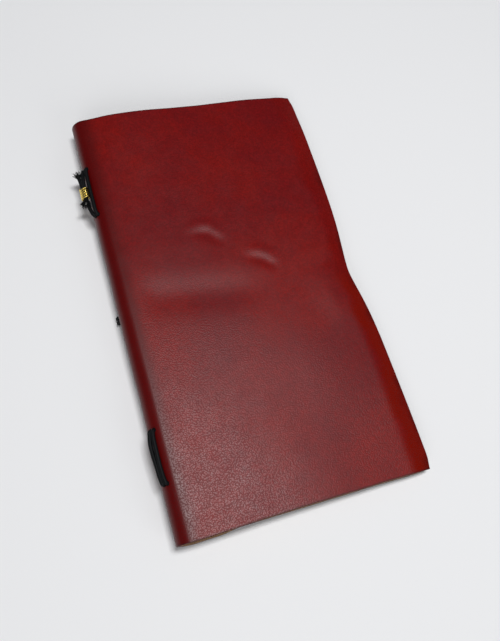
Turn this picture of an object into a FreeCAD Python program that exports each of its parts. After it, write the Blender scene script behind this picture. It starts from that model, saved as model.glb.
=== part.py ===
import FreeCAD, Part
import math
import os

# Refillable leather notebook cover, closed and lying on its back cover.
# X runs from the spine to the fore-edge, Y from tail to head, Z up; the origin is the
# middle of the footprint, on the surface that the notebook lies on.

Vector = FreeCAD.Vector
Rotation = FreeCAD.Rotation
Placement = FreeCAD.Placement

doc = FreeCAD.newDocument("leather_notebook_cover")

# ---------------------------------------------------------------- driving dimensions
SIZES = [
    ("cover_length", 220.0),       # tail to head
    ("cover_width", 116.4),        # spine ridge to fore-edge
    ("leather_thick", 1.6),
    ("spine_radius", 6.6),         # outside of the rounded spine
    ("ridge_place", -52.18),       # X of the line where the spine's curve starts
    ("lift", 2.0),                 # the slack closure elastic lies under the cover
    ("panel_run", 110.0),          # ridge to the start of the fore-edge droop
    ("front_fall", 6.45),          # how far the front cover falls over panel_run
    ("front_droop", 25.0),         # degrees, front cover past panel_run
    ("front_lip", 6.1),            # width of that drooping edge
    ("back_run", 100.0),
    ("fold_low", 20.0),            # degrees below the spine's middle: back fold line
    ("fold_high", 70.0),           # degrees above the spine's middle: front fold line
    ("fold_gap", 0.8),             # degrees left open at each fold line
    ("elastic_dia", 2.0),
    ("strand_gap", 0.03),
    ("hole_radius", 1.12),
    ("head_outer", 81.0),          # the four rows of holes, from mid-length
    ("head_inner", 54.0),
    ("tail_inner", 59.5),
    ("tail_outer", 84.0),
    ("head_angle", 42.0),          # degrees up the spine, head pair of holes
    ("tail_angle", 47.0),          # degrees up the spine, tail pair of holes
    ("closure_angle", 35.0),       # degrees down the spine, closure elastic's hole
    ("refill_length", 210.0),
    ("refill_run", 107.65),        # crease to fore-edge
    ("fold_radius", 2.35),         # outside of a refill's fold
    ("fore_half", 0.775),          # half a refill's thickness at its fore-edge
    ("kraft_thick", 0.25),
    ("crease_half", 1.05),         # half the room that the elastic takes in a crease
    ("refill_set", 2.2),           # crease line, from the ridge
    ("page_inset", 0.6),           # pages trimmed inside the kraft cover
    ("wire_dia", 0.8),
    ("binding_angle", 25.0),
    ("binding_turns", 5.0),
    ("binding_pitch", 1.25),
    ("staple_dia", 0.4),
    ("staple_place", 35.0),        # from mid-length
    ("staple_half", 6.0),          # half a staple's crown
    ("knot_radius", 1.9),
]
sheet = doc.addObject("Spreadsheet::Sheet", "Sizes")
for row, (alias, value) in enumerate(SIZES, start=1):
    sheet.set("A%d" % row, alias)
    sheet.set("B%d" % row, str(value))
    sheet.setAlias("B%d" % row, alias)
doc.recompute()


def size(alias):
    return float(sheet.get(alias))


length = size("cover_length")
half_length = length / 2.0
leather = size("leather_thick")
outer = size("spine_radius")
inner = outer - leather
ridge = size("ridge_place")
lift = size("lift")
axis_height = lift + outer
strand = size("elastic_dia") / 2.0
strand_ring = outer + strand + size("strand_gap")
# outer and inner row of holes at the head (1) and at the tail (-1)
HOLES = {
    1: (size("head_outer"), size("head_inner")),
    -1: (size("tail_outer"), size("tail_inner")),
}
nodes = []


def keep(obj, label):
    """Names an object as one of the finished pieces."""
    obj.Label = label
    nodes.append(obj)
    return obj


def spine_point(radius, angle, y):
    """A point at a radius from the spine's axis, angle degrees up from its middle."""
    turn = math.radians(angle)
    return Vector(ridge - radius * math.cos(turn), y, axis_height + radius * math.sin(turn))


def pair_point(radius, angle, side, y):
    """A point on one of two parallel strands, side -1 or 1, that leave the spine at angle."""
    out = spine_point(1.0, angle, 0) - spine_point(0.0, angle, 0)
    along = Vector(0, 1, 0).cross(out)
    return spine_point(radius, angle, y) + along * (side * (strand + size("strand_gap")))


# ---------------------------------------------------------------- building blocks
def sector(name, radius, centre, start, sweep, width="Sizes.cover_length", head=None):
    """A slice of a cylinder lying along Y, from start degrees above +X, counter-clockwise."""
    piece = doc.addObject("Part::Cylinder", name)
    piece.setExpression("Radius", radius)
    piece.setExpression("Height", width)
    piece.setExpression("Angle", sweep)
    lay = Rotation(Vector(0, -1, 0), start).multiply(Rotation(Vector(1, 0, 0), 90))
    top = half_length if head is None else head
    piece.Placement = Placement(Vector(centre[0], top, centre[1]), lay)
    return piece


def slab(name, run, thickness, corner, fall, width="Sizes.cover_length"):
    """A flat plate whose lower spine-side edge is at corner, falling fall degrees towards +X."""
    piece = doc.addObject("Part::Box", name)
    piece.setExpression("Length", run)
    piece.setExpression("Width", width)
    piece.setExpression("Height", thickness)
    tail = Vector(corner[0], -half_length, corner[1])
    piece.Placement = Placement(tail, Rotation(Vector(0, 1, 0), fall))
    return piece


def cut(name, base, tool):
    piece = doc.addObject("Part::Cut", name)
    piece.Base = base
    piece.Tool = tool
    return piece


def fuse(name, shapes):
    piece = doc.addObject("Part::MultiFuse", name)
    piece.Shapes = shapes
    piece.Refine = True
    return piece


def radial_hole(name, angle, side, y):
    """A cylinder through the spine's leather for one strand of a pair."""
    piece = doc.addObject("Part::Cylinder", name)
    piece.setExpression("Radius", "Sizes.hole_radius")
    piece.setExpression("Height", "Sizes.leather_thick * 3")
    out = spine_point(1.0, angle, 0) - spine_point(0.0, angle, 0)
    foot = pair_point(inner - leather, angle, side, y)
    piece.Placement = Placement(foot, Rotation(Vector(0, 0, 1), out))
    return piece


def arc_band(name, start, sweep):
    """The rounded leather between two directions round the spine's axis."""
    centre = (ridge, axis_height)
    solid = sector(name + "_outside", "Sizes.spine_radius", centre, start, sweep)
    room = "Sizes.spine_radius - Sizes.leather_thick"
    hollow = sector(name + "_inside", room, centre, 0, "360 deg")
    return cut(name + "_band", solid, hollow)


def tube(label, route, radius):
    """A cord along straight runs joined by tangent arcs, as large as the runs allow."""
    ends = [route[0]]
    edges = []
    radii = []
    for before, corner, after in zip(route, route[1:], route[2:]):
        back = (before - corner).normalize()
        on = (after - corner).normalize()
        turn = math.pi - back.getAngle(on)
        reach = 0.45 * min((before - corner).Length, (after - corner).Length)
        radii.append(reach / math.tan(turn / 2.0))
        start = corner + back * reach
        end = corner + on * reach
        middle_way = (back + on).normalize()
        bend = radii[-1]
        middle = corner + middle_way * (bend / math.cos(turn / 2.0) - bend)
        edges.append(Part.LineSegment(ends[-1], start).toShape())
        edges.append(Part.Arc(start, middle, end).toShape())
        ends.append(end)
    edges.append(Part.LineSegment(ends[-1], route[-1]).toShape())
    path = Part.Wire(edges)
    direction = (route[1] - route[0]).normalize()
    section = Part.Wire([Part.Circle(route[0], direction, radius).toShape()])
    body = path.makePipeShell([section], True, False)
    solid = Part.Solid(body) if body.ShapeType == "Shell" else body
    wanted = math.pi * radius ** 2 * path.Length
    if radii:
        print(label, "length %.1f" % path.Length, "radii", ["%.1f" % r for r in radii])
    if abs(solid.Volume - wanted) > 0.01 * wanted:
        raise ValueError("%s has volume %.2f, not %.2f" % (label, solid.Volume, wanted))
    return solid


def shape_node(label, shape, place=None):
    """A piece whose form is a sweep or a group of sweeps, held as a plain shape."""
    piece = doc.addObject("Part::Feature", label)
    piece.Shape = shape
    piece.Placement = place or Placement()
    return keep(piece, label)


# ---------------------------------------------------------------- leather cover
# One sheet of leather, modelled in three stretches that meet at the two fold lines.
low_fold = 180.0 + size("fold_low")
high_fold = 180.0 - size("fold_high")
front_slope = math.degrees(math.atan2(size("front_fall"), size("panel_run")))
front_start = 90.0 - front_slope

# back cover: rounded lower spine, flat panel, and the edge that droops onto the table
back_band = arc_band("back", low_fold, "90 deg - Sizes.fold_low * 1 deg")
back_flat = slab("back_flat", "Sizes.back_run", "Sizes.leather_thick", (ridge, lift), 0)
back_droop = math.degrees(math.atan2(lift, size("cover_width") - size("back_run")))
back_bend_at = (ridge + size("back_run"), lift)
back_angle = "atan(Sizes.lift / (Sizes.cover_width - Sizes.back_run))"
back_bend = sector("back_bend", "Sizes.leather_thick", back_bend_at, 90 - back_droop, back_angle)
back_edge_run = "(Sizes.cover_width - Sizes.back_run) / cos(%s)" % back_angle
back_edge = slab("back_edge", back_edge_run, "Sizes.leather_thick", back_bend_at, back_droop)
back_solid = fuse("back_solid", [back_band, back_flat, back_bend, back_edge])
closure_cut = fuse("closure_holes", [
    radial_hole("closure_hole_%d" % (side + 1), -size("closure_angle"), 0, side * (strand + 0.05))
    for side in (-1, 1)
])
keep(cut("back_cover", back_solid, closure_cut), "cover_back_panel")

# spine: the stretch between the fold lines, with two pairs of elastic holes
gap = size("fold_gap")
spine_sweep = "(Sizes.fold_low + Sizes.fold_high - 2 * Sizes.fold_gap) * 1 deg"
spine_band = arc_band("spine", high_fold + gap, spine_sweep)
hole_rows = []
for end, base_angle in ((1, size("head_angle")), (-1, size("tail_angle"))):
    for place in HOLES[end]:
        for side in (-1, 1):
            tag = "hole_%d_%d_%d" % (end + 1, int(place), side + 1)
            hole_rows.append(radial_hole(tag, base_angle, side, end * place))
spine_holes = fuse("spine_holes", hole_rows)
keep(cut("spine", spine_band, spine_holes), "cover_spine")

# front cover: the ridge, the falling panel, and the edge that droops past the refills
front_angle = "atan(Sizes.front_fall / Sizes.panel_run)"
front_sweep = "90 deg - Sizes.fold_high * 1 deg + %s" % front_angle
front_band = arc_band("front", front_start, front_sweep)
slope = math.radians(front_slope)
front_corner = (ridge + inner * math.sin(slope), axis_height + inner * math.cos(slope))
front_run = "Sizes.panel_run / cos(%s)" % front_angle
front_flat = slab("front_flat", front_run, "Sizes.leather_thick", front_corner, front_slope)
run_long = size("panel_run") / math.cos(slope)
front_bend_at = (front_corner[0] + run_long * math.cos(slope),
                 front_corner[1] - run_long * math.sin(slope))
droop = size("front_droop")
front_bend = sector("front_bend", "Sizes.leather_thick", front_bend_at,
                    front_start - droop, "Sizes.front_droop * 1 deg")
front_edge = slab("front_edge", "Sizes.front_lip", "Sizes.leather_thick", front_bend_at,
                  front_slope + droop)
keep(fuse("front_cover", [front_band, front_flat, front_bend, front_edge]), "cover_front_panel")


# ---------------------------------------------------------------- refills
fold = size("fold_radius")
taper = math.degrees(math.atan2(fold - size("fore_half"), size("refill_run")))


def refill_plate(name, low_fold_side, high_fold_side, low_fore, high_fore, inset):
    """A plate from a refill's crease line to its fore-edge, in the refill's own frame."""
    piece = doc.addObject("Part::Wedge", name)
    piece.setExpression("Xmin", inset)
    piece.setExpression("X2min", inset)
    piece.setExpression("Xmax", "Sizes.refill_length - %s" % inset)
    piece.setExpression("X2max", "Sizes.refill_length - %s" % inset)
    piece.Ymin = 0
    piece.setExpression("Ymax", "Sizes.refill_run - %s" % inset)
    piece.setExpression("Zmin", low_fold_side)
    piece.setExpression("Zmax", high_fold_side)
    piece.setExpression("Z2min", low_fore)
    piece.setExpression("Z2max", high_fore)
    return piece


def set_in_place(piece, height, fall):
    """Puts a plate made by refill_plate at its crease line, turned down by fall degrees."""
    crease = Vector(ridge + size("refill_set"), size("refill_length") / 2.0, height)
    lay = Rotation(Vector(0, 1, 0), fall).multiply(Rotation(Vector(0, 0, 1), -90))
    piece.Placement = Placement(crease, lay)


def fold_band(name, outside, inside, height, fall, start, sweep, inset):
    """The rounded back of folded sheets, between two radii about the crease line."""
    centre = (ridge + size("refill_set"), height)
    width = "Sizes.refill_length - 2 * %s" % inset
    inset_size = 0.0 if inset == "0" else size(inset.split(".")[1])
    head = size("refill_length") / 2.0 - inset_size
    solid = sector(name + "_outside", outside, centre, start - fall, sweep, width, head)
    hollow = sector(name + "_inside", inside, centre, 0, "360 deg", width, head)
    return cut(name + "_band", solid, hollow)


def fold_holes(name, height, fall):
    """Four holes punched through a refill's fold for the elastic."""
    tools = []
    way = Rotation(Vector(0, 1, 0), fall).multVec(Vector(1, 0, 0))
    start = Vector(ridge + size("refill_set"), 0, height) - way * (fold + 1.0)
    for end in (-1, 1):
        for place in HOLES[end]:
            tool = doc.addObject("Part::Cylinder", "%s_%d_%d" % (name, int(place), end + 1))
            tool.setExpression("Radius", "Sizes.hole_radius * 1.25")
            tool.setExpression("Height", "Sizes.fold_radius + 1")
            foot = start + Vector(0, end * place, 0)
            tool.Placement = Placement(foot, Rotation(Vector(0, 0, 1), way))
            tools.append(tool)
    return fuse(name, tools)


def make_refill(name, height, fall):
    """A folded kraft cover, two halves of its folded pages, and two wire staples."""
    kraft_in = "(Sizes.fold_radius - Sizes.kraft_thick)"
    fore_in = "(Sizes.fore_half - Sizes.kraft_thick)"
    fold_out, fore_out = "Sizes.fold_radius", "Sizes.fore_half"
    shell = [
        refill_plate(name + "_upper_board", kraft_in, fold_out, fore_in, fore_out, "0"),
        refill_plate(name + "_lower_board", "-" + fold_out, "-" + kraft_in,
                     "-" + fore_out, "-" + fore_in, "0"),
    ]
    for board in shell:
        set_in_place(board, height, fall)
    shell.append(fold_band(name + "_back", fold_out, kraft_in, height, fall, 90, "180 deg", "0"))
    cover = fuse(name + "_shell", shell)
    holes = fold_holes(name + "_kraft_holes", height, fall)
    keep(cut(name + "_kraft", cover, holes), name + "_kraft_cover")

    page_out = "(Sizes.fold_radius - Sizes.kraft_thick - 0.03)"
    page_fore = "(Sizes.fore_half - Sizes.kraft_thick - 0.03)"
    inset = "Sizes.page_inset"
    halves = (
        ("pages_upper", "Sizes.crease_half", page_out, "0.02", page_fore, 90),
        ("pages_lower", "-" + page_out, "-Sizes.crease_half", "-" + page_fore, "-0.02", 180),
    )
    for part, low, high, low_fore, high_fore, start in halves:
        leaves = refill_plate("%s_%s_leaves" % (name, part), low, high, low_fore, high_fore, inset)
        set_in_place(leaves, height, fall)
        nudge = 0.3 if start == 90 else -0.3
        back = fold_band("%s_%s_back" % (name, part), page_out, "Sizes.crease_half", height, fall,
                         start, "90 deg", inset)
        back.Base.Placement.Rotation = Rotation(Vector(0, -1, 0), start - fall - nudge).multiply(
            Rotation(Vector(1, 0, 0), 90))
        whole = fuse("%s_%s_whole" % (name, part), [leaves, back])
        holes = fold_holes("%s_%s_holes" % (name, part), height, fall)
        keep(cut("%s_%s" % (name, part), whole, holes), "%s_%s" % (name, part))


rear_height = lift + leather + 0.1 + fold
front_height = rear_height + fold + 0.12 + fold
rear_fall = taper
front_fall_angle = 3.0 * taper
make_refill("rear_refill", rear_height, rear_fall)
make_refill("front_refill", front_height, front_fall_angle)


def staples(name, height, fall):
    """Two wire staples through a refill's fold, clinched in the crease."""
    across = Rotation(Vector(0, 1, 0), fall).multVec(Vector(1, 0, 0))
    crease = Vector(ridge + size("refill_set"), 0, height)
    wire = size("staple_dia") / 2.0
    crown = crease - across * (fold + wire + 0.02)
    clinch = crease - across * (size("crease_half") - wire - 0.01)
    half = size("staple_half")
    both = []
    for place in (-size("staple_place"), size("staple_place")):
        route = [
            clinch + Vector(0, place - 2.5, 0),
            clinch + Vector(0, place - half, 0),
            crown + Vector(0, place - half, 0),
            crown + Vector(0, place + half, 0),
            clinch + Vector(0, place + half, 0),
            clinch + Vector(0, place + 2.5, 0),
        ]
        both.append(tube(name, route, wire))
    shape_node(name, Part.makeCompound(both))


staples("rear_refill_staples", rear_height, rear_fall)
staples("front_refill_staples", front_height, front_fall_angle)

# ---------------------------------------------------------------- spine elastic
# One elastic cord, threaded twice through the four holes. Outside, it runs between the
# holes of each pair; inside, it runs down the crease of each refill.
tuck = inner - 0.1
pair_ring = strand_ring + 0.05


def outside_strand(label, angle, side, end):
    """A strand on the outside of the spine, with both ends turned in through the leather."""
    far = end * HOLES[end][0]
    near = end * HOLES[end][1]
    route = [
        pair_point(tuck, angle, side, far),
        pair_point(pair_ring, angle, side, far),
        pair_point(pair_ring, angle, side, near),
        pair_point(tuck, angle, side, near),
    ]
    shape_node(label, tube(label, route, strand))


head_angle = size("head_angle")
tail_angle = size("tail_angle")
outside_strand("elastic_head_strand", head_angle, 1, 1)
outside_strand("elastic_tail_upper_strand", tail_angle, 1, -1)
outside_strand("elastic_tail_lower_strand", tail_angle, -1, -1)

# the cord's two ends overlap outside the head pair of holes, bound together with wire
binding_middle = (size("head_outer") + size("head_inner")) / 2.0
bundle = outer + strand + size("wire_dia") + strand + 0.1
bind_angle = size("binding_angle")
pair_turn = math.degrees((strand + 0.03) / bundle)
reach = 6.0                         # half the length where the two ends lie side by side
end_from_head = [
    pair_point(tuck, head_angle, -1, size("head_outer")),
    pair_point(strand_ring + 0.9, head_angle, -1, size("head_outer")),
    spine_point(bundle, bind_angle + pair_turn, binding_middle + reach),
    spine_point(bundle, bind_angle + pair_turn, binding_middle - 3.0),
    spine_point(bundle + 0.5, bind_angle + pair_turn + 1.0, binding_middle - reach),
]
end_from_tail = [
    pair_point(tuck, head_angle, -1, size("head_inner")),
    pair_point(strand_ring + 0.9, head_angle, -1, size("head_inner")),
    spine_point(bundle, bind_angle - pair_turn, binding_middle - reach),
    spine_point(bundle, bind_angle - pair_turn, binding_middle + 3.0),
    spine_point(bundle + 2.2, bind_angle - pair_turn - 3.0, binding_middle + 12.5),
]
shape_node("elastic_end_from_head", tube("elastic_end_from_head", end_from_head, strand))
shape_node("elastic_end_from_tail", tube("elastic_end_from_tail", end_from_tail, strand))


def binding():
    """Turns of brass wire wound round both cord ends."""
    wire = size("wire_dia") / 2.0
    around = 2.0 * strand + 0.06 + wire
    rise = size("binding_pitch") * size("binding_turns")
    helix = Part.makeHelix(size("binding_pitch"), rise, around)
    section = Part.Wire([Part.Circle(Vector(around, 0, 0), Vector(0, 1, 0), wire).toShape()])
    coil = Part.Wire(helix.Edges).makePipeShell([section], True, True)
    foot = spine_point(bundle, bind_angle, binding_middle - rise / 2.0)
    shape_node("binding_wire", coil, Placement(foot, Rotation(Vector(1, 0, 0), -90)))


binding()


def crease_strands(name, height, fall, side):
    """Two strands down one refill's crease, each going out through the fold at both ends."""
    across = Rotation(Vector(0, 1, 0), fall).multVec(Vector(1, 0, 0))
    crease = Vector(ridge + size("refill_set"), 0, height)
    angles = {1: head_angle, -1: tail_angle}
    strands = []
    for row, offset in ((1, 0.35), (0, 2.45)):
        route = []
        for end in (1, -1):
            place = end * HOLES[end][row]
            y = Vector(0, place, 0)
            mouth = pair_point(inner - strand - 0.15, angles[end], side * 1.15, place)
            leave = crease - across * (fold + strand + 0.35) + y
            turn = crease + across * offset + y
            legs = [mouth, leave, turn]
            route += legs if end == 1 else legs[::-1]
        strands.append(tube(name, route, strand - 0.02))
    shape_node(name, Part.makeCompound(strands))


crease_strands("rear_refill_elastic", rear_height, rear_fall, -1)
crease_strands("front_refill_elastic", front_height, front_fall_angle, 1)


# ---------------------------------------------------------------- closure elastic
# A ring of the same cord, knotted inside the spine. It is unhooked, so its slack lies
# under the back cover.
def closure_route():
    """From the knot out through the spine, round under the back cover, and back."""
    side = strand + 0.05
    angle = -size("closure_angle")
    low = strand - 0.05
    return [
        spine_point(inner - 0.6, angle, side),
        spine_point(outer + 2.4, angle, side),
        Vector(ridge - 6.6, side, low),
        Vector(ridge - 1.5, side, low),
        Vector(ridge + 8.0, side + 1.5, low),
        Vector(ridge + 24.0, 9.0, low),
        Vector(ridge + 48.0, 20.0, low),
        Vector(ridge + 72.0, 19.0, low),
        Vector(ridge + 88.0, 6.0, low),
        Vector(ridge + 88.0, -11.0, low),
        Vector(ridge + 71.0, -22.0, low),
        Vector(ridge + 46.0, -19.0, low),
        Vector(ridge + 24.0, -8.0, low),
        Vector(ridge + 8.0, -side - 1.0, low),
        Vector(ridge - 1.5, -side, low),
        Vector(ridge - 6.6, -side, low),
        spine_point(outer + 2.4, angle, -side),
        spine_point(inner - 0.6, angle, -side),
    ]


shape_node("closure_elastic", tube("closure_elastic", closure_route(), strand - 0.05))
knot = doc.addObject("Part::Sphere", "knot")
knot.setExpression("Radius", "Sizes.knot_radius")
knot.Placement = Placement(Vector(ridge - 2.25, 0, lift + 4.95), Rotation())
keep(knot, "closure_knot")

# ---------------------------------------------------------------- check and write
doc.recompute()
for obj in doc.Objects:
    bad = [state for state in obj.State if state in ("Invalid", "Error")]
    if bad:
        raise RuntimeError("%s is %s" % (obj.Label, bad))
os.makedirs("parts", exist_ok=True)
for obj in nodes:
    if obj.Shape.isNull() or not obj.Shape.isValid():
        raise RuntimeError("%s has no valid shape" % obj.Label)
    obj.Shape.exportStep("parts/%s.step" % obj.Label)
whole = Part.makeCompound([obj.Shape for obj in nodes]).BoundBox
print("nodes", len(nodes), "box", whole)
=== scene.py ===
import math
import random

import bmesh
import bpy
import numpy as np
from mathutils import Matrix, Vector, noise


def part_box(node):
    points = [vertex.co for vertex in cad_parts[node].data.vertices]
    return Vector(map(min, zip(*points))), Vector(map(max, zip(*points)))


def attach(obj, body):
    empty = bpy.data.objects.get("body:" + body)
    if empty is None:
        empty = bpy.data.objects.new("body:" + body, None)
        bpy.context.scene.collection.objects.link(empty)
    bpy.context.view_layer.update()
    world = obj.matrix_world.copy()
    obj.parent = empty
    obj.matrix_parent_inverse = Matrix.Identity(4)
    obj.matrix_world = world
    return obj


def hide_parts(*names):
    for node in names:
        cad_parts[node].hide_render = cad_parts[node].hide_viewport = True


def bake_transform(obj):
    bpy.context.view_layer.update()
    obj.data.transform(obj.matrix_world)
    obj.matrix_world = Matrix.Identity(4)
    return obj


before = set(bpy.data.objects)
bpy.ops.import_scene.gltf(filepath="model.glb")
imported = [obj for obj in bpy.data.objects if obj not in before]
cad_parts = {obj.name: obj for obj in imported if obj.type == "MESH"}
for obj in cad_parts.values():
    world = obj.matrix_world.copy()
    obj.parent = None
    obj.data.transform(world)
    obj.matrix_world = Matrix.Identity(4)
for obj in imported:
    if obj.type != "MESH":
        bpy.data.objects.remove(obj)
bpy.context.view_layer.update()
MM = 0.001

# ---------------------------------------------------------------- the hide
# The cover is one piece of waxed oxblood cowhide, 1.6 mm thick and 220 mm long, wrapped
# once round the refills so that its bare back makes a rounded spine. It is cut with a
# knife, and nothing hems it. It is modelled in two pieces that meet on the spine's side.
hide_thick = 1.6 * MM
spine_radius = 6.6 * MM
half_length = 110.0 * MM
spine_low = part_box("cover_spine")[0]
ridge_x = spine_low.x + spine_radius
spine_height = 8.6 * MM                 # the spine's axis, above the table
front_fall = 3.356                      # degrees that the front cover falls to its fore-edge
front_slope = math.radians(front_fall)
table_gap = 2.0 * MM                    # the closure elastic lies under the back cover
seam_angle = -6.0                       # degrees up the spine's side, where the two pieces meet
back_start = -spine_radius * math.radians(180.0 + front_fall)


def placed(name, data):
    """A new object for a mesh, curve, light or camera, put in the scene."""
    made = bpy.data.objects.new(name, data)
    bpy.context.scene.collection.objects.link(made)
    return made


def eased(value, start, end):
    """0 before start, 1 after end, and a smooth change between them."""
    share = min(max((value - start) / (end - start), 0.0), 1.0)
    return share * share * (3.0 - 2.0 * share)


def girth_at(angle):
    """Where on the hide's girth a direction round the spine falls; 0 is the front ridge."""
    return -spine_radius * math.radians(90.0 + 3.356 - angle)


# the front cover's fall from the ridge, steeper past the refills
step = 0.25 * MM
front_girths = np.arange(0.0, 126.0 * MM, step)
fall_share = np.clip((front_girths - 105.5 * MM) / (9.0 * MM), 0.0, 1.0)
fall_angle = front_slope + math.radians(19.0) * fall_share ** 2 * (3.0 - 2.0 * fall_share)
front_xs = ridge_x + spine_radius * math.sin(front_slope) + np.cumsum(np.cos(fall_angle)) * step
front_zs = spine_height + spine_radius * math.cos(front_slope) - np.cumsum(np.sin(fall_angle)) * step

# soft creases that run from the dent in the fore-edge towards the spine: the points that
# each passes, in mm from the ridge and from mid-length, with its height and width in mm
HIDE_CREASES = [
    ([(33, 34), (39, 36.5), (43, 38), (48, 37), (51, 33), (55, 27)], 0.21, 2.7),
    ([(36, 31), (41, 32.5), (46, 32), (50, 28), (54, 22)], -0.3, 2.6),
    ([(58, 17), (64, 19), (70, 18), (75, 14), (79, 8)], 0.17, 2.7),
    ([(59, 13), (65, 14), (70, 12), (74, 8), (76, 3)], -0.28, 2.6),
    ([(-18, 6), (8, 4), (45, -1), (75, -3)], -0.6, 9.0),
]


def crease_height(run, along):
    """How far the soft creases lift the hide, in mm, at a place given in mm."""
    lift = 0.0
    place = Vector((run, along))
    for points, height, width in HIDE_CREASES:
        spans = [Vector(b) - Vector(a) for a, b in zip(points, points[1:])]
        total = sum(span.length for span in spans)
        nearest = (1e9, 0.0)
        passed = 0.0
        for start, span in zip(points, spans):
            share = min(max((place - Vector(start)).dot(span) / span.length_squared, 0.0), 1.0)
            away = (place - Vector(start) - span * share).length
            nearest = min(nearest, (away, (passed + share * span.length) / total))
            passed += span.length
        fade = eased(nearest[1], 0.0, 0.35) * (1.0 - 0.9 * eased(nearest[1], 0.7, 1.0))
        lift += height * fade * math.exp(-(nearest[0] / width) ** 2)
    return lift


def fore_edge_shift(along):
    """How far the fore-edge stands out past its straight line, in mm: a dent at mid-length."""
    away = along + 3.0
    dent = 5.0 * math.exp(-(abs(away) / (25.0 if away > 0 else 19.0)) ** 1.6)
    flare = 0.7 * math.exp(-((along + 92.0) / 45.0) ** 2)
    corners = 1.2 * eased(abs(along), 101.0, 110.0) ** 2
    return 1.5 + flare - dent - corners


def cover_sag(run, along):
    """How far the front cover stands off its plain slope, in mm: arched and drooping at the head."""
    head = eased(along, 40.0, 110.0)
    arch = 2.3 * math.exp(-((run - 25.0) / 25.0) ** 2) * eased(run, -4.0, 12.0) * head
    droop = -2.0 * eased(run, 80.0, 112.0) * eased(along, 78.0, 110.0)
    tail_arch = 0.7 * math.exp(-((run - 45.0) / 30.0) ** 2) * eased(-along, 60.0, 110.0)
    pinch = 0.4 * math.exp(-((run - 101.0) / 9.0) ** 2 - ((along + 16.0) / 15.0) ** 2)
    return arch + droop + tail_arch + pinch


def hide_point(girth, along):
    """Where a place on the flat hide lies once the cover is folded and has taken its set."""
    y = along / MM
    slow = noise.noise(Vector((girth * 28.0, along * 22.0, 3.7)))
    if girth >= 0.0:
        run = girth / MM
        stretched = girth + fore_edge_shift(y) * MM * eased(run, 62.0, 116.0)
        x = float(np.interp(stretched, front_girths, front_xs))
        z = float(np.interp(stretched, front_girths, front_zs))
        lift = cover_sag(run, y) + (crease_height(run, y) + 0.35 * slow) * eased(run, 0.0, 14.0)
        point = Vector((x, along, z + lift * MM))
    elif girth > back_start:
        turn = front_slope + girth / spine_radius
        loose = (0.28 * noise.noise(Vector((0.0, along * 34.0, 9.1))) - 0.1) * MM
        radius = spine_radius + loose * math.sin(-girth / spine_radius)
        point = Vector((ridge_x + radius * math.sin(turn), along,
                        spine_height + radius * math.cos(turn)))
    else:
        run = (back_start - girth) / MM
        spread = fore_edge_shift(y) - 1.6
        x = ridge_x + (run + spread * eased(run, 62.0, 116.0)) * MM
        ripple = 0.5 * noise.noise(Vector((girth * 30.0, along * 24.0, 8.3))) * eased(run, 8.0, 40.0)
        level = table_gap / MM * (1.0 - eased(run, 93.0, 117.0)) + ripple * (1.0 - eased(run, 95.0, 112.0))
        point = Vector((x, along, max(level + 0.02, 0.02) * MM))
    # the cut edges are not quite square: the tail edge runs out a little at the spine
    tail_run = 0.9 * math.exp(-(girth / MM / 30.0) ** 2) * eased(-y, 85.0, 110.0)
    back_run = 0.9 * eased(-girth, 12.0 * MM, 24.0 * MM) * (1.0 - eased(-girth, 34.0 * MM, 46.0 * MM))
    ragged = 0.18 * noise.noise(Vector((girth * 60.0, 0.0, 1.0))) * eased(abs(y), 100.0, 110.0)
    point.y += (ragged - tail_run - back_run * eased(-y, 85.0, 110.0)) * MM
    return point


def graded(*stretches):
    """Grid lines along the hide: (end, spacing) stretches that follow one another, in mm."""
    lines = [stretches[0]]
    for end, spacing in stretches[1:]:
        count = max(1, round((end - lines[-1]) / spacing))
        lines += list(np.linspace(lines[-1], end, count + 1)[1:])
    return [line * MM for line in lines]


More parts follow.
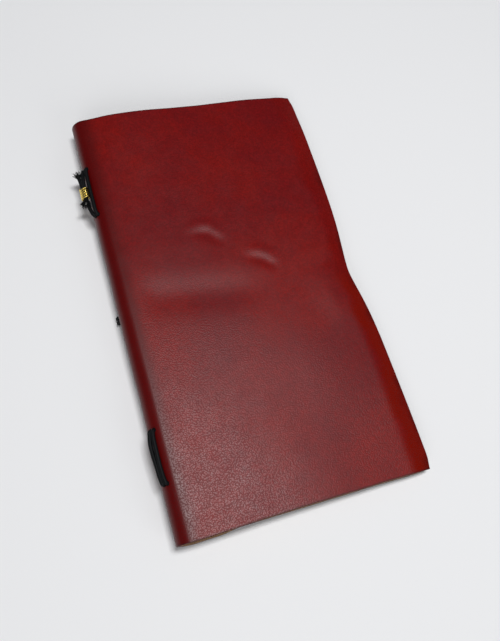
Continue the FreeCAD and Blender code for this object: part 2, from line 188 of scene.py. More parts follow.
def cut_hide(name, girth_lines, along_lines, holes, seam_girth):
    """Cuts a piece of hide flat, punches its holes, and folds it; (girth, along, radius) holes."""
    piece = bmesh.new()
    flat_map = piece.loops.layers.uv.new("hide")
    columns, rows = len(girth_lines), len(along_lines)
    bmesh.ops.create_grid(piece, x_segments=columns - 1, y_segments=rows - 1, size=0.5)
    for vert in piece.verts:
        column = round((vert.co.x + 0.5) * (columns - 1))
        row = round((vert.co.y + 0.5) * (rows - 1))
        vert.co = Vector((girth_lines[column], along_lines[row], 0.0))
    for girth, along, radius in holes:
        centre = Vector((girth, along, 0.0))
        punched = [f for f in piece.faces if (f.calc_center_median() - centre).length < radius]
        bmesh.ops.delete(piece, geom=punched, context="FACES")
        for vert in piece.verts:
            if vert.is_boundary and (vert.co - centre).length < 1.5 * radius:
                vert.co = centre + (vert.co - centre).normalized() * radius
    bevel_weight = piece.edges.layers.float.new("bevel_weight_edge")
    for face in piece.faces:
        face.smooth = True
        for loop in face.loops:
            loop[flat_map].uv = (loop.vert.co.x * 10.0, loop.vert.co.y * 10.0)
    low, high = min(girth_lines), max(girth_lines)
    for edge in piece.edges:
        if edge.is_boundary:
            ends = [v.co for v in edge.verts]
            at_seam = all(abs(c.x - seam_girth) < 1e-7 for c in ends)
            at_rim = all(abs(abs(c.y) - half_length) < 1e-7 for c in ends)
            at_fore = all(abs(c.x - (low if seam_girth == high else high)) < 1e-7 for c in ends)
            edge.smooth = False
            if (at_rim or at_fore) and not at_seam:
                edge[bevel_weight] = 1.0
                edge.smooth = True
    for vert in piece.verts:
        vert.co = hide_point(vert.co.x, vert.co.y)
    mesh = bpy.data.meshes.new(name)
    piece.to_mesh(mesh)
    piece.free()
    hide = placed(name, mesh)
    wall = hide.modifiers.new("leather thickness", "SOLIDIFY")
    wall.thickness = hide_thick
    wall.offset = -1.0
    wall.use_even_offset = True
    wall.material_offset = 1
    wall.material_offset_rim = 2
    rim = hide.modifiers.new("worn edges", "BEVEL")
    rim.limit_method = "WEIGHT"
    rim.width = 0.3 * MM
    rim.segments = 2
    rim.profile = 0.5
    rim.material = -1
    rim.harden_normals = True
    return hide


def new_finish(name):
    """An empty procedural finish: the material, its shader, and a way to add nodes to it."""
    finish = bpy.data.materials.new(name)
    finish.use_nodes = True
    tree = finish.node_tree
    shader = tree.nodes["Principled BSDF"]

    def add(kind, inputs=None, **settings):
        node = tree.nodes.new(kind)
        for key, value in settings.items():
            setattr(node, key, value)
        for key, value in (inputs or {}).items():
            if isinstance(value, bpy.types.NodeSocket):
                tree.links.new(value, node.inputs[key])
            else:
                node.inputs[key].default_value = value
        return node

    def wire(output, key):
        tree.links.new(output, shader.inputs[key])

    return finish, shader, add, wire


def blended(add, share, first, second, how="MIX"):
    """Two colours mixed by a share that may itself be a pattern."""
    node = add("ShaderNodeMix", data_type="RGBA", blend_type=how)
    for key, value in ((0, share), (6, first), (7, second)):
        if isinstance(value, bpy.types.NodeSocket):
            node.id_data.links.new(value, node.inputs[key])
        elif isinstance(value, tuple):
            node.inputs[key].default_value = value + (1.0,)
        else:
            node.inputs[key].default_value = value
    return node.outputs[2]


def ranged(add, value, low, high, to_low=0.0, to_high=1.0):
    """A value eased from one range to another, held at its ends."""
    node = add("ShaderNodeMapRange", {"Value": value, "From Min": low, "From Max": high,
                                      "To Min": to_low, "To Max": to_high})
    node.interpolation_type = "SMOOTHSTEP"
    return node.outputs["Result"]


def worked(add, how, first, second=0.5):
    """Arithmetic on two values."""
    node = add("ShaderNodeMath", {0: first, 1: second}, operation=how)
    return node.outputs[0]


def grain_side():
    """The dyed and waxed grain side: mottled oxblood, pebbled, burnt orange at the fore-edge, with painted
    shade over the ridge, along the fore-edge's last strip and in the grain's pits.
    """
    finish, shader, add, wire = new_finish("oxblood_grain")
    place = add("ShaderNodeUVMap", uv_map="hide").outputs[0]
    parts = add("ShaderNodeSeparateXYZ", {0: place})
    girth, along = parts.outputs[0], parts.outputs[1]

    def cloud(scale, detail=3.0, rough=0.5, shift=0.0):
        moved = add("ShaderNodeMapping", {"Vector": place, "Location": (shift, shift * 0.7, shift)})
        return add("ShaderNodeTexNoise", {"Vector": moved.outputs[0], "Scale": scale,
                                          "Detail": detail, "Roughness": rough}).outputs["Fac"]

    dye = ranged(add, cloud(2.6, 4.0, 0.55, 1.3), 0.32, 0.68)
    colour = blended(add, dye, (0.155, 0.003, 0.004), (0.2, 0.0035, 0.002))
    blotch = ranged(add, cloud(9.0, 4.0, 0.6, 4.1), 0.38, 0.72)
    colour = blended(add, worked(add, "MULTIPLY", blotch, 0.25), colour, (0.125, 0.005, 0.008))
    speck = ranged(add, cloud(75.0, 3.0, 0.65, 7.7), 0.35, 0.7, 0.84, 1.12)
    colour = blended(add, 1.0, colour, worked(add, "MULTIPLY", speck, 1.0), "MULTIPLY")

    # the dye burnt orange along the lower fore-edge, and thinly along the rest of it
    wander = ranged(add, cloud(5.0, 2.0, 0.5, 2.2), 0.2, 0.8, -0.045, 0.045)
    edge_place = worked(add, "ADD", girth, wander)
    band = ranged(add, edge_place, 1.03, 1.1)
    lower = ranged(add, along, 0.12, -0.25)
    burn = worked(add, "MULTIPLY", band, ranged(add, lower, 0.0, 1.0, 0.25, 0.95))
    colour = blended(add, burn, colour, (0.18, 0.004, 0.0))
    # painted shade: the last few mm of the fore-edge darkened, where the edge curls down into shadow
    fore_edge_shade = ranged(add, edge_place, 1.125, 1.175)
    colour = blended(add, worked(add, "MULTIPLY", fore_edge_shade, 0.7), colour, (0.08, 0.002, 0.001))

    # painted shade: a darker, clearer red over the ridge and round the spine, where the curved glossy hide
    # faces away from the light
    ridge_shade = ranged(add, girth, 0.06, -0.01)
    colour = blended(add, worked(add, "MULTIPLY", ridge_shade, 0.9), colour, (0.09, 0.0008, 0.0008))

    # dark, dressed rims at the head and tail
    reach = worked(add, "ABSOLUTE", along)
    rim = ranged(add, reach, 1.088, 1.1)
    colour = blended(add, worked(add, "MULTIPLY", rim, 0.7), colour, (0.045, 0.006, 0.006))

    # pebbled grain with fine pores, drawn out into lines near the tail
    bend = add("ShaderNodeTexNoise", {"Vector": place, "Scale": 30.0, "Detail": 2.0})
    warp = add("ShaderNodeVectorMath", {0: bend.outputs["Color"], 1: (0.012, 0.012, 0.0)},
               operation="MULTIPLY")
    bent = add("ShaderNodeVectorMath", {0: place, 1: warp.outputs[0]}, operation="ADD").outputs[0]
    pebbles = add("ShaderNodeTexVoronoi", {"Vector": bent, "Scale": 126.0, "Randomness": 0.85},
                  feature="SMOOTH_F1", voronoi_dimensions="2D")
    pebbles.inputs["Smoothness"].default_value = 0.35
    pebble = ranged(add, pebbles.outputs["Distance"], 0.2, 0.58, 1.0, 0.0)
    # painted shade: the base colour darkened in the pits between the pebbles, where the sheen does not
    # reach
    pit_shade = ranged(add, pebble, 0.0, 0.5, 0.86, 1.03)
    colour = blended(add, 1.0, colour, worked(add, "MULTIPLY", pit_shade, 1.0), "MULTIPLY")
    wire(colour, "Base Color")
    drawn = add("ShaderNodeMapping", {"Vector": bent, "Scale": (1.0, 0.28, 1.0)})
    line = add("ShaderNodeTexNoise", {"Vector": drawn.outputs[0], "Scale": 95.0, "Detail": 3.0})
    line_share = worked(add, "MULTIPLY", ranged(add, along, -0.82, -1.02), ranged(add, girth, 0.5, 0.3))
    pore = cloud(260.0, 2.0, 0.5, 3.0)
    height = worked(add, "ADD", pebble, worked(add, "MULTIPLY", pore, 0.22))
    drawn_height = worked(add, "MULTIPLY", worked(add, "MULTIPLY", line.outputs["Fac"], 2.2), line_share)
    height = worked(add, "ADD", height, drawn_height)
    tired = ranged(add, cloud(4.0, 2.0, 0.5, 6.0), 0.3, 0.75, 0.75, 1.0)
    height = worked(add, "MULTIPLY", height, tired)
    coarse = ranged(add, worked(add, "ADD", along, worked(add, "MULTIPLY", girth, 0.5)), 0.75, -0.35)
    height = worked(add, "MULTIPLY", height, ranged(add, coarse, 0.0, 1.0, 0.4, 0.85))
    height = worked(add, "MULTIPLY", height, ranged(add, girth, -0.01, 0.06, 0.3, 1.0))
    grain = add("ShaderNodeBump", {"Height": height, "Strength": 0.32, "Distance": 0.0001})
    wire(grain.outputs[0], "Normal")
    rough = ranged(add, cloud(12.0, 3.0, 0.6, 9.0), 0.3, 0.7, 0.31, 0.36)
    pits = worked(add, "MULTIPLY", ranged(add, pebble, 0.55, 0.05), worked(add, "MULTIPLY", coarse, 0.12))
    rough = worked(add, "ADD", rough, pits)
    wire(worked(add, "SUBTRACT", rough, worked(add, "MULTIPLY", band, 0.1)), "Roughness")
    shader.inputs["Specular IOR Level"].default_value = 0.24
    return finish


def flesh_side():
    """The undyed flesh side: tan suede with short fibres."""
    finish, shader, add, wire = new_finish("tan_flesh")
    place = add("ShaderNodeUVMap", uv_map="hide").outputs[0]
    nap = add("ShaderNodeTexNoise", {"Vector": place, "Scale": 160.0, "Detail": 4.0, "Roughness": 0.7})
    patch = add("ShaderNodeTexNoise", {"Vector": place, "Scale": 6.0, "Detail": 3.0})
    colour = blended(add, ranged(add, patch.outputs["Fac"], 0.3, 0.7), (0.33, 0.19, 0.095),
                     (0.45, 0.28, 0.15))
    colour = blended(add, ranged(add, nap.outputs["Fac"], 0.3, 0.75, 0.0, 0.45), colour,
                     (0.24, 0.13, 0.065))
    wire(colour, "Base Color")
    fibres = add("ShaderNodeBump", {"Height": nap.outputs["Fac"], "Strength": 0.6, "Distance": 0.0002})
    wire(fibres.outputs[0], "Normal")
    shader.inputs["Roughness"].default_value = 0.9
    shader.inputs["Sheen Weight"].default_value = 0.25
    return finish


def cut_edge():
    """The knife-cut edge: dark dyed fibres mixed with paler ones."""
    finish, shader, add, wire = new_finish("cut_edge")
    place = add("ShaderNodeUVMap", uv_map="hide").outputs[0]
    fibre = add("ShaderNodeTexNoise", {"Vector": place, "Scale": 220.0, "Detail": 4.0, "Roughness": 0.7})
    colour = blended(add, ranged(add, fibre.outputs["Fac"], 0.35, 0.7), (0.028, 0.007, 0.006),
                     (0.1, 0.035, 0.022))
    wire(colour, "Base Color")
    rough_cut = add("ShaderNodeBump", {"Height": fibre.outputs["Fac"], "Strength": 0.5,
                                       "Distance": 0.00015})
    wire(rough_cut.outputs[0], "Normal")
    shader.inputs["Roughness"].default_value = 0.75
    return finish


hide_finishes = [grain_side(), flesh_side(), cut_edge()]
pair_half = 1.03                        # mm, half the distance between the holes of a pair
pair_turn = math.degrees(math.asin(pair_half * MM / spine_radius))
hole_radius = 1.12 * MM
head_angle, tail_angle = 42.0, 47.0     # degrees up the spine's side
HEAD_HOLES, TAIL_HOLES = (81.0, 54.0), (-84.0, -59.5)
cord_holes = [(girth_at(angle + side * pair_turn), along * MM, hole_radius)
              for angle, places in ((head_angle, HEAD_HOLES), (tail_angle, TAIL_HOLES))
              for along in places for side in (-1, 1)]
closure_angle, closure_half = -35.0, 1.05
closure_holes = [(girth_at(closure_angle), side * closure_half * MM, hole_radius) for side in (-1, 1)]
seam_girth = girth_at(seam_angle)
along_lines = graded(-110.0, (-109.0, 0.5), (109.0, 1.15), (110.0, 0.5))

# front cover and the upper part of the spine; the fore-edge stands a little past the refills
front_lines = graded(seam_girth / MM, (seam_girth / MM + 0.06, 0.06), (0.0, 0.42), (3.0, 0.5),
                     (10.0, 0.9), (98.0, 1.6), (116.6, 0.9))
front_hide = cut_hide("front_cover_leather", front_lines, along_lines, cord_holes, seam_girth)
# back cover and the lower part of the spine
back_end = (back_start - 116.4 * MM) / MM
back_lines = graded(back_end, (back_start / MM - 98.0, 0.9), (back_start / MM - 8.0, 1.7),
                    (back_start / MM, 0.8), (seam_girth / MM - 0.06, 0.42), (seam_girth / MM, 0.06))
back_hide = cut_hide("back_cover_leather", back_lines, along_lines, closure_holes, seam_girth)
for hide in (front_hide, back_hide):
    for finish in hide_finishes:
        hide.data.materials.append(finish)
spine_axis = Vector((ridge_x, 0.0, spine_height))
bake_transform(back_hide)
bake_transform(front_hide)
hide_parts("cover_back_panel")
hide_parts("cover_front_panel", "cover_spine")

# ---------------------------------------------------------------- the refills
# Two thin paper refills sit inside, each of five sheets folded once and stapled into a
# kraft card cover. Nothing is glued to the leather: the elastic runs down their creases.
refill_half = 105.0 * MM
refill_run = 107.65 * MM
crease_x = ridge_x + 2.2 * MM
REFILLS = (("rear_refill", "back_cover", 6.05 * MM, math.radians(0.838)),
           ("front_refill", "front_cover", 10.87 * MM, math.radians(2.514)))


def folded_sheet(name, crease_z, fall, at_fold, at_fore, trim, thickness, follow):
    """Adds one sheet, folded about the crease: half gaps at the fold and at the fore-edge."""
    sheet = bmesh.new()
    flat_map = sheet.loops.layers.uv.new("sheet")
    columns, rows = 40, 28
    bmesh.ops.create_grid(sheet, x_segments=columns, y_segments=rows, size=0.5)
    run = refill_run - trim
    bend = math.pi * at_fold / 2.0
    arm = run + bend
    for vert in sheet.verts:
        across = vert.co.x * 2.0
        spread = math.copysign(abs(across) ** 1.6, across) * arm
        along = vert.co.y * 2.0 * (refill_half - trim)
        for loop in vert.link_loops:
            loop[flat_map].uv = (spread * 10.0, along * 10.0)
        side = 1.0 if spread >= 0 else -1.0
        distance = abs(spread)
        if distance < bend:
            turn = distance / at_fold
            local = Vector((-at_fold * math.cos(turn), 0, side * at_fold * math.sin(turn)))
        else:
            out = distance - bend
            local = Vector((out, 0, side * (at_fold + (at_fore - at_fold) * out / run)))
        wave = 0.05 * noise.noise(Vector((spread * 40.0, along * 30.0, at_fold * 9000.0))) * MM
        local.z += wave * eased(distance, 0.02, 0.08)
        x = crease_x + local.x * math.cos(fall) + local.z * math.sin(fall)
        z = crease_z - local.x * math.sin(fall) + local.z * math.cos(fall)
        rel = (x - ridge_x) / MM
        z += follow * min(cover_sag(rel, along / MM), 0.0) * MM
        vert.co = Vector((x, along, z))
    for face in sheet.faces:
        face.smooth = True
    mesh = bpy.data.meshes.new(name)
    sheet.to_mesh(mesh)
    sheet.free()
    made = placed(name, mesh)
    wall = made.modifiers.new("sheet thickness", "SOLIDIFY")
    wall.thickness = thickness
    wall.offset = 0.0
    return made


def joined(name, pieces):
    """Several objects made one, each with its modifiers applied."""
    whole = bmesh.new()
    for piece in pieces:
        shape = bpy.data.meshes.new_from_object(
            piece.evaluated_get(bpy.context.evaluated_depsgraph_get()))
        whole.from_mesh(shape)
        bpy.data.objects.remove(piece)
    mesh = bpy.data.meshes.new(name)
    whole.to_mesh(mesh)
    whole.free()
    return placed(name, mesh)


def refinished(node, finish):
    """Gives a CAD node that keeps its own shape one finish."""
    node.data.materials.clear()
    node.data.materials.append(finish)


def kraft_card():
    """Uncoated brown card: flecked, matt, with a few pale and dark fibres."""
    finish, shader, add, wire = new_finish("kraft_card")
    place = add("ShaderNodeTexCoord").outputs["Object"]
    fleck = add("ShaderNodeTexNoise", {"Vector": place, "Scale": 1400.0, "Detail": 3.0, "Roughness": 0.7})
    pulp = add("ShaderNodeTexNoise", {"Vector": place, "Scale": 90.0, "Detail": 4.0})
    colour = blended(add, ranged(add, pulp.outputs["Fac"], 0.3, 0.7), (0.36, 0.215, 0.11),
                     (0.44, 0.275, 0.15))
    colour = blended(add, ranged(add, fleck.outputs["Fac"], 0.55, 0.75, 0.0, 0.6), colour,
                     (0.22, 0.12, 0.055))
    wire(colour, "Base Color")
    tooth = add("ShaderNodeBump", {"Height": fleck.outputs["Fac"], "Strength": 0.25, "Distance": 0.00008})
    wire(tooth.outputs[0], "Normal")
    shader.inputs["Roughness"].default_value = 0.82
    return finish


def cream_paper():
    """Uncoated cream paper."""
    finish, shader, add, wire = new_finish("cream_paper")
    place = add("ShaderNodeTexCoord").outputs["Object"]
    pulp = add("ShaderNodeTexNoise", {"Vector": place, "Scale": 700.0, "Detail": 3.0, "Roughness": 0.6})
    colour = blended(add, ranged(add, pulp.outputs["Fac"], 0.3, 0.7), (0.74, 0.68, 0.55),
                     (0.82, 0.77, 0.65))
    wire(colour, "Base Color")
    tooth = add("ShaderNodeBump", {"Height": pulp.outputs["Fac"], "Strength": 0.15, "Distance": 0.00005})
    wire(tooth.outputs[0], "Normal")
    shader.inputs["Roughness"].default_value = 0.88
    return finish


def staple_steel():
    """Bright drawn steel wire."""
    finish, shader, add, wire = new_finish("staple_steel")
    place = add("ShaderNodeTexCoord").outputs["Object"]
    drawn = add("ShaderNodeTexNoise", {"Vector": place, "Scale": 2500.0, "Detail": 2.0})
    wire(ranged(add, drawn.outputs["Fac"], 0.3, 0.7, 0.25, 0.42), "Roughness")
    wire(blended(add, drawn.outputs["Fac"], (0.5, 0.5, 0.52), (0.66, 0.66, 0.68)), "Base Color")
    shader.inputs["Metallic"].default_value = 1.0
    return finish


kraft, paper, steel = kraft_card(), cream_paper(), staple_steel()
for refill, body, crease_z, fall in REFILLS:
    follow = 1.0 if refill == "front_refill" else 0.35
    card = folded_sheet(refill + "_card", crease_z, fall, 2.22 * MM, 0.65 * MM, 0.0, 0.25 * MM, follow)
    card = joined(refill + "_kraft_card", [card])
    card.data.materials.append(kraft)
    leaves = []
    for number in range(5):
        at_fold = (1.16 + 0.2 * number) * MM
        at_fore = (0.07 + 0.095 * number) * MM
        trim = (0.6 + 0.12 * ((number * 3) % 5)) * MM
        leaves.append(folded_sheet("%s_leaf_%d" % (refill, number), crease_z, fall, at_fold,
                                   at_fore, trim, 0.085 * MM, follow))
    block = joined(refill + "_leaves", leaves)
    block.data.materials.append(paper)
    for piece, slot, stands_for in ((card, "kraft", ("kraft_cover",)),
                                    (block, "paper", ("pages_upper", "pages_lower"))):
        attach(piece, body)
        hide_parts(*["%s_%s" % (refill, part) for part in stands_for])
    refinished(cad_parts[refill + "_staples"], steel)

# ---------------------------------------------------------------- the spine elastic
# One black elastic cord, 2 mm thick: a rubber core in a braided sleeve. It is threaded
# twice through four pairs of holes in the spine, and pulled tight over the refills.
cord_radius = 1.0 * MM
cord_steps = 12                         # a round cord's bevel steps: 4 + 2 x 12 sides


def on_spine(radius, angle, along, sideways=0.0):
    """A place beside the spine in mm, degrees up from its middle; sideways is up its surface."""
    turn = math.radians(angle)
    out = Vector((-math.cos(turn), 0.0, math.sin(turn)))
    up = Vector((math.sin(turn), 0.0, math.cos(turn)))
    return spine_axis + (out * radius + up * sideways + Vector((0, along, 0))) * MM


def cord_curve(name, route, radius):
    """A round cord on one smooth spline with these control points, as a curve."""
    line = bpy.data.curves.new(name, "CURVE")
    line.dimensions = "3D"
    spline = line.splines.new("NURBS")
    spline.points.add(len(route) - 1)
    for point, place in zip(spline.points, route):
        point.co = (*place, 1.0)
    spline.order_u = 3
    spline.use_endpoint_u = True
    spline.resolution_u = 14
    line.bevel_depth = radius
    line.bevel_resolution = cord_steps
    line.use_fill_caps = True
    return placed(name, line)


def smoothed(piece):
    """The same piece, shaded smooth."""
    for polygon in piece.data.polygons:
        polygon.use_smooth = True
    return piece


def braided_mesh(name, route, radius, strands=7, pick=1.1):
    """A cord with its braid raised in the mesh: rounded diamonds, pick mm long."""
    curve = cord_curve(name + "_line", route, radius)
    curve.data.splines[0].resolution_u = 24
    mesh = bpy.data.meshes.new_from_object(
        curve.evaluated_get(bpy.context.evaluated_depsgraph_get()))
    bpy.data.objects.remove(curve)
    around = 4 + 2 * cord_steps
    rings = len(mesh.vertices) // around
    places = np.array([v.co for v in mesh.vertices], float)[:rings * around].reshape(rings, around, 3)
    middles = places.mean(axis=1)
    passed = np.concatenate([[0.0], np.cumsum(np.linalg.norm(np.diff(middles, axis=0), axis=1))])
    for ring in range(rings):
        for turn in range(around):
            out = Vector(places[ring, turn] - middles[ring])
            first = turn / around * strands + passed[ring] / (pick * MM)
            second = turn / around * strands - passed[ring] / (pick * MM)
            raised = math.cos(2 * math.pi * first) * math.cos(2 * math.pi * second)
            slack = noise.noise(Vector(middles[ring]) * 160.0)
            scale = 1.0 + 0.045 * raised + 0.05 * slack - 0.03
            mesh.vertices[ring * around + turn].co = Vector(middles[ring]) + out * scale
    mesh.name = name
    return smoothed(placed(name, mesh))


def black_braid():
    """Black polyester sleeve: fine crossing yarns with a cool, slight sheen."""
    finish, shader, add, wire = new_finish("black_braid")
    place = add("ShaderNodeTexCoord").outputs["Object"]
    yarn = add("ShaderNodeTexNoise", {"Vector": place, "Scale": 2600.0, "Detail": 2.0, "Roughness": 0.6})
    weave = add("ShaderNodeTexVoronoi", {"Vector": place, "Scale": 1500.0, "Randomness": 0.6})
    colour = blended(add, ranged(add, yarn.outputs["Fac"], 0.35, 0.7), (0.0015, 0.0015, 0.002),
                     (0.005, 0.0055, 0.0065))
    wire(colour, "Base Color")
    height = worked(add, "ADD", weave.outputs["Distance"], yarn.outputs["Fac"])
    bump = add("ShaderNodeBump", {"Height": height, "Strength": 0.4, "Distance": 0.00006})
    wire(bump.outputs[0], "Normal")
    shader.inputs["Roughness"].default_value = 0.6
    shader.inputs["Specular IOR Level"].default_value = 0.16
    return finish


braid = black_braid()


def strand_between(angle, side, holes, settled, bow):
    """Control points of a strand between two holes; it has settled to an angle and bows out."""
    far, near = holes
    way = 1.0 if far > near else -1.0
    lean = side * pair_half
    ring = 7.62                         # mm, the spine's radius and the cord's
    third = near + (far - near) * 0.7
    return [
        on_spine(4.9, angle, far, lean), on_spine(6.8, angle, far, lean),
        on_spine(ring - 0.15, angle, far - way * 0.6, lean),
        on_spine(ring, (angle + settled) / 2, far - way * 3.0, lean * 0.98),
        on_spine(ring + 0.1, settled, third, lean * 0.97),
        on_spine(ring + bow, settled, near + way * 7.0, lean * (1.0 + bow)),
        on_spine(ring + 0.1, (angle + settled) / 2, near + way * 2.6, lean * 0.98),
        on_spine(ring - 0.2, angle, near + way * 0.6, lean),
        on_spine(6.8, angle, near, lean), on_spine(4.9, angle, near, lean),
    ]


END_FROM_HEAD = [
    on_spine(4.9, head_angle, 81.0, -pair_half), on_spine(7.0, head_angle, 80.9, -pair_half),
    on_spine(8.0, 38, 79.4, -0.9),
    on_spine(8.7, 33.0, 75.0), on_spine(8.95, 31.5, 71.5), on_spine(8.95, 31.2, 67.5),
    on_spine(9.1, 30.0, 64.8), on_spine(9.5, 27.5, 62.6),
]
END_FROM_TAIL = [
    on_spine(4.9, head_angle, 54.0, -pair_half), on_spine(7.0, head_angle, 54.1, -pair_half),
    on_spine(7.9, 36.0, 55.8, -0.8),
    on_spine(8.6, 24.0, 61.0), on_spine(8.95, 19.0, 65.0), on_spine(8.95, 18.5, 69.0),
    on_spine(9.1, 18.5, 73.0), on_spine(9.4, 18.5, 76.5), on_spine(9.8, 17.5, 79.4),
]
SPINE_CORDS = (
    ("elastic_head_strand", "elastic_head_cord",
     strand_between(head_angle, 1, HEAD_HOLES, 41.0, 0.1)),
    ("elastic_tail_upper_strand", "elastic_tail_upper_cord",
     strand_between(tail_angle, 1, TAIL_HOLES, 43.0, 0.15)),
    ("elastic_tail_lower_strand", "elastic_tail_lower_cord",
     strand_between(tail_angle, -1, TAIL_HOLES, 42.0, 0.45)),
    ("elastic_end_from_head", "elastic_end_from_head_cord", END_FROM_HEAD),
    ("elastic_end_from_tail", "elastic_end_from_tail_cord", END_FROM_TAIL),
)
for node, name, route in SPINE_CORDS:
    cord = braided_mesh(name, route, cord_radius)
    cord.data.materials.append(braid)
    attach(cord, "spine")
    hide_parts(node)
for node in ("rear_refill_elastic", "front_refill_elastic"):
    refinished(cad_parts[node], braid)

# ---------------------------------------------------------------- the cut ends
# Both ends of the elastic are cut with scissors. The sleeve has sprung open into a brush of
# black yarns round the white rubber threads of the core.


def threads(name, lines, radius, tip):
    """Thin round threads, each on its own smooth line, thinner at its tip."""
    bunch = bpy.data.curves.new(name + "_lines", "CURVE")
    bunch.dimensions = "3D"
    bunch.bevel_depth = radius
    bunch.bevel_resolution = 1
    bunch.use_fill_caps = True
    for line in lines:
        spline = bunch.splines.new("NURBS")
        spline.points.add(len(line) - 1)
        for number, (point, place) in enumerate(zip(spline.points, line)):
            point.co = (*place, 1.0)
            point.radius = 1.0 + (tip - 1.0) * number / (len(line) - 1)
        spline.order_u = 3
        spline.use_endpoint_u = True
        spline.resolution_u = 5
    return smoothed(joined(name, [placed(name + "_lines", bunch)]))


def rubber_core():
    """White natural rubber threads, a little dusty."""
    finish, shader, add, wire = new_finish("rubber_core")
    place = add("ShaderNodeTexCoord").outputs["Object"]
    dust = add("ShaderNodeTexNoise", {"Vector": place, "Scale": 1800.0, "Detail": 2.0})
    wire(blended(add, dust.outputs["Fac"], (0.52, 0.5, 0.47), (0.75, 0.73, 0.7)), "Base Color")
    shader.inputs["Roughness"].default_value = 0.6
    return finish


core = rubber_core()
rng = random.Random(41)
# reach, spread and thickness of the yarns in mm
for label, route, yarn_count, reach, spread, thick in (
        ("upper", END_FROM_TAIL, 70, 3.4, 1.0, 0.12), ("lower", END_FROM_HEAD, 110, 4.3, 1.5, 0.17)):
    tip = Vector(route[-1])
    way = (tip - Vector(route[-2])).normalized()
    side = way.cross(Vector((0, 0, 1))).normalized()
    rise = side.cross(way)
    yarns = []
    for number in range(yarn_count):
        turn = 2 * math.pi * (number + rng.random()) / yarn_count
        out = side * math.cos(turn) + rise * math.sin(turn)
        curl = side * rng.uniform(-0.5, 0.5) + rise * rng.uniform(-0.7, 0.3)
        long = reach * rng.uniform(0.45, 1.0)
        root = tip - way * rng.uniform(0.6, 1.6) * MM + out * 0.95 * MM
        yarns.append([
            root, root + (way * 0.35 * long + out * 0.35) * MM,
            root + (way * 0.7 * long + out * spread * rng.uniform(0.4, 1.0) + curl * 0.5) * MM,
            root + (way * long * rng.uniform(0.8, 1.0) + out * spread * rng.uniform(0.5, 1.5) + curl) * MM,
        ])
    brush = threads("elastic_%s_frayed_sleeve" % label, yarns, thick * MM, 0.5)
    brush.data.materials.append(braid)
    rubber = []
    for number in range(7):
        turn = 2 * math.pi * number / 6.0
        out = (side * math.cos(turn) + rise * math.sin(turn)) * (0.42 if number < 6 else 0.0)
        start = tip - way * 1.2 * MM + out * MM
        rubber.append([start, start + way * 1.2 * MM,
                       start + (way * rng.uniform(1.9, 2.5) + out * rng.uniform(0.1, 0.5)) * MM])
    white = threads("elastic_%s_rubber_core" % label, rubber, 0.21 * MM, 0.9)
    white.data.materials.append(core)
    for piece in (brush, white):
        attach(piece, "spine")

# ---------------------------------------------------------------- the binding wire
# The two overlapping ends are bound with five turns of bright brass wire, wound by hand,
# so the turns lean and are not evenly spaced. Its own ends are tucked under.


def brass():
    """Bright brass with a drawn, slightly tarnished surface."""
    finish, shader, add, wire = new_finish("bright_brass")
    place = add("ShaderNodeTexCoord").outputs["Object"]
    tarnish = add("ShaderNodeTexNoise", {"Vector": place, "Scale": 900.0, "Detail": 3.0})
    wire(blended(add, ranged(add, tarnish.outputs["Fac"], 0.35, 0.7), (0.93, 0.72, 0.2),
                 (0.7, 0.5, 0.12)), "Base Color")
    wire(ranged(add, tarnish.outputs["Fac"], 0.3, 0.7, 0.2, 0.36), "Roughness")
    shader.inputs["Metallic"].default_value = 1.0
    return finish


wire_radius = 0.4 * MM
bind_middle = on_spine(8.98, 25.0, 67.6)
bind_out = (on_spine(10.0, 25.0, 67.6) - bind_middle).normalized()
bind_up = Vector((-bind_out.z, 0, bind_out.x)) * -1.0
turns, points_each = 5, 12
half_wide, half_deep, pitch = 2.6, 1.72, 1.22   # mm, round both cords side by side
wound = []
for number in range(turns * points_each + 1):
    turn = 2 * math.pi * number / points_each
    share = number / (turns * points_each) - 0.5
    wobble = 0.16 * math.sin(3.1 * share * turns * 2 + 0.7)
    wide = bind_up * math.sin(turn) * half_wide
    deep = bind_out * math.cos(turn) * half_deep
    lean = Vector((0, 1, 0)) * (share * pitch * turns + wobble + 0.22 * math.sin(turn))
    wound.append(bind_middle + (wide + deep + lean) * MM)
tucked = [place + (bind_middle - place) * 0.35 for place in (wound[0], wound[-1])]
wound = [tucked[0]] + wound + [tucked[1]]
binding = smoothed(joined("brass_binding", [cord_curve("brass_binding_line", wound, wire_radius)]))
binding.data.materials.append(brass())
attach(binding, "spine")
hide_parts("binding_wire")

# ---------------------------------------------------------------- the closure elastic
# A ring of the same cord comes out of the spine at mid-length and is meant to go round the
# closed cover. It is unhooked here, and its slack lies flat under the back cover.
closure_radius = 0.95 * MM


def under_cover(run, along):
    """A place on the table, in mm from the ridge and from mid-length."""
    return Vector((ridge_x + run * MM, along * MM, closure_radius))


closure_line = [
    on_spine(4.4, closure_angle, closure_half), on_spine(9.0, closure_angle, closure_half),
    under_cover(-6.6, closure_half), under_cover(-1.5, closure_half), under_cover(8.0, 2.55),
    under_cover(24.0, 9.0), under_cover(48.0, 20.0), under_cover(72.0, 19.0),
    under_cover(88.0, 6.0), under_cover(88.0, -11.0), under_cover(71.0, -22.0),
    under_cover(46.0, -19.0), under_cover(24.0, -8.0), under_cover(8.0, -2.05),
    under_cover(-1.5, -closure_half), under_cover(-6.6, -closure_half),
    on_spine(9.0, closure_angle, -closure_half), on_spine(4.4, closure_angle, -closure_half),
]
closure = cord_curve("closure_cord", closure_line, closure_radius)
closure.data.materials.append(braid)
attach(closure, "back_cover")
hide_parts("closure_elastic")

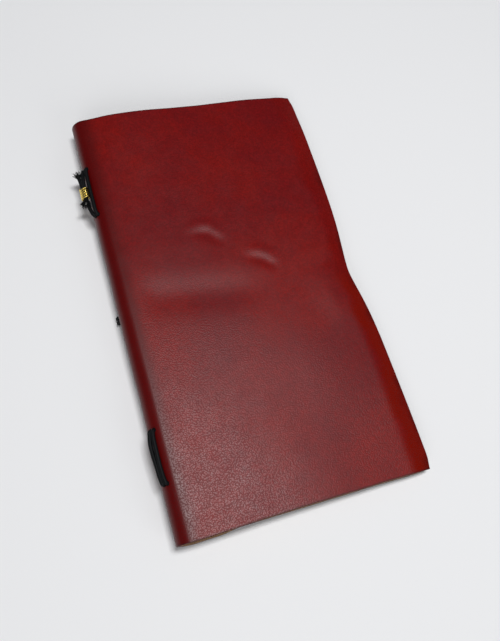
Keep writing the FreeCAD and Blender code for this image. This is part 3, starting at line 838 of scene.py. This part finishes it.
knot_middle = Vector((ridge_x - 2.25 * MM, 0.0, table_gap + 4.95 * MM))
knot_line = []
for number in range(25):
    turn = 2 * math.pi * number / 24
    knot_line.append(knot_middle + Vector((
        (math.sin(turn) + 2 * math.sin(2 * turn)) * 0.36,
        (math.cos(turn) - 2 * math.cos(2 * turn)) * 0.36,
        -math.sin(3 * turn) * 0.5)) * MM)
knot_radius = 0.62 * MM                 # the same cord, pulled thin and tight in its knot
knot = smoothed(joined("closure_cord_knot", [cord_curve("closure_cord_knot_line", knot_line, knot_radius)]))
knot.data.materials.append(braid)
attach(knot, "back_cover")
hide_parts("closure_knot")

# ---------------------------------------------------------------- table, light and camera
# A plain pale table under a soft overhead light, with two weaker soft lights past the tail.
# The camera looks down on the front cover from above the spine and the tail.
table = bmesh.new()
bmesh.ops.create_grid(table, x_segments=1, y_segments=1, size=1.5)
table_mesh = bpy.data.meshes.new("table")
table.to_mesh(table_mesh)
table.free()
table_top = placed("table", table_mesh)
table_paint, table_shader, _, _ = new_finish("pale_table")
table_shader.inputs["Base Color"].default_value = (0.88, 0.88, 0.88, 1.0)
table_shader.inputs["Roughness"].default_value = 0.75
table_mesh.materials.append(table_paint)


def softbox(name, place, aim, width, height, power, tint):
    """A rectangular soft light at place, turned towards aim."""
    lamp = bpy.data.lights.new(name, "AREA")
    lamp.shape = "RECTANGLE"
    lamp.size = width
    lamp.size_y = height
    lamp.energy = power
    lamp.color = tint
    holder = placed(name, lamp)
    holder.location = place
    holder.rotation_euler = (Vector(aim) - Vector(place)).to_track_quat("-Z", "Y").to_euler()


softbox("window_light", (0.75, -1.4, 0.7), (0, 0, 0), 0.9, 0.9, 5.0, (0.98, 0.99, 1.0))
softbox("overhead_light", (0.13, 0.03, 1.2), (0.08, 0.03, 0), 0.22, 0.42, 10.0, (0.98, 0.985, 1.0))
softbox("spine_light", (-0.7, -1.2, 0.9), (0, 0, 0), 0.9, 0.9, 6.0, (1.0, 1.0, 1.0))
world = bpy.data.worlds.new("room")
world.use_nodes = True
world.node_tree.nodes["Background"].inputs["Color"].default_value = (0.9, 0.93, 1.0, 1.0)
world.node_tree.nodes["Background"].inputs["Strength"].default_value = 0.1
bpy.context.scene.world = world
bpy.context.scene.view_settings.view_transform = "Standard"

lens = bpy.data.cameras.new("camera")
lens.sensor_width = 36.0
lens.lens = 38.86
lens.clip_start = 0.01
camera = placed("camera", lens)
right = Vector((0.95132, -0.28554, 0.11599))
up = Vector((0.22792, 0.90513, 0.35887))
back = right.cross(up)
turned = Matrix((right, up, back)).transposed().to_4x4()
camera.matrix_world = Matrix.Translation((-0.06801, -0.12525, 0.32487)) @ turned
bpy.context.scene.camera = camera
